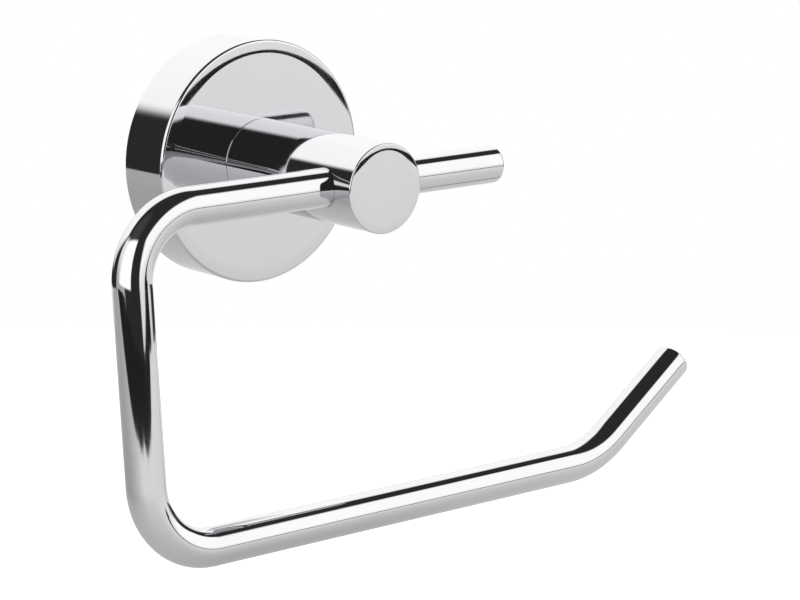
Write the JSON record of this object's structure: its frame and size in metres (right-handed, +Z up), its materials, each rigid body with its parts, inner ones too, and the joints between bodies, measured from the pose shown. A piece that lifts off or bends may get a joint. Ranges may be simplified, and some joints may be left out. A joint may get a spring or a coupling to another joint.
{
  "type": "toilet paper holder",
  "caption": "Chrome wall-mounted toilet roll holder: a round rose, a short post and a bent rod arm that is open at one side and swings up from its stop",
  "frame": {"origin": "centre of the rose's back, on the wall", "axes": "+Y into the wall, so the holder reaches out along -Y; +X to the right along the wall seen from the room; +Z up"},
  "size_m": [0.1515, 0.0556, 0.0976],
  "materials": {
    "polished_chrome": "bright polished chrome plate on brass",
    "cast_zinc": "plain die-cast zinc, matt",
    "plated_steel": "bright zinc-plated steel",
    "stainless_steel": "plain stainless steel"
  },
  "bodies": {
    "holder": {"wall_plate": "cast_zinc", "rose": "polished_chrome", "rose_screw": "stainless_steel", "post": "polished_chrome", "post_bolt": "plated_steel", "lock_washer": "plated_steel", "flat_washer": "plated_steel", "locating_pin": "plated_steel", "arm_screw": "stainless_steel"},
    "arm": {"roll_arm": "polished_chrome"}
  },
  "joints": [
    {"name": "arm_swing", "type": "hinge", "parent": "holder", "child": "arm", "pos_m": [0, -0.045, 0], "axis": [-1, 0, 0], "range_deg": [0, 85]}
  ]
}
